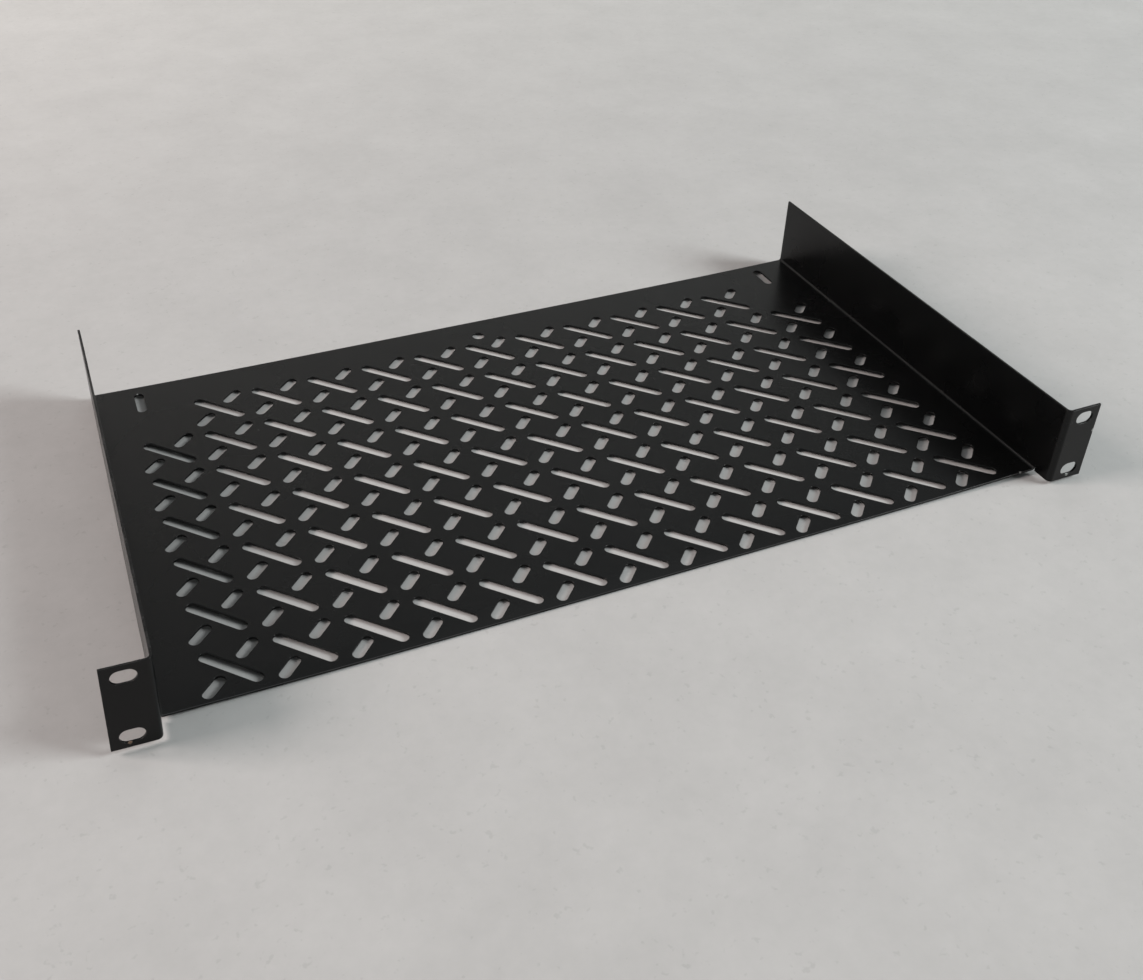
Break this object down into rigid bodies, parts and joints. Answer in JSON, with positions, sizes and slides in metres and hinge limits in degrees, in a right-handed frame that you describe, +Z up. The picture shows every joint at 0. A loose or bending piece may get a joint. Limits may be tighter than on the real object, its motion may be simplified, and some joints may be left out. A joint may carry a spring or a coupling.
{
  "type": "cantilever rack shelf",
  "caption": "One-unit vented cantilever shelf for a 19 inch rack: a slotted steel tray with side flanges and two slotted front ears.",
  "frame": {"origin": "under the middle of the shelf, on the underside of the tray", "axes": "+X across the rack to the right seen from the front, +Y from the rack's front to its back, +Z up"},
  "size_m": [0.4826, 0.253, 0.044],
  "materials": {
    "black_powder_coat": "black satin powder coat with a fine texture over mild steel sheet, a few chips on its edges"
  },
  "bodies": {
    "root": {"cantilever_shelf": "black_powder_coat"}
  },
  "joints": []
}
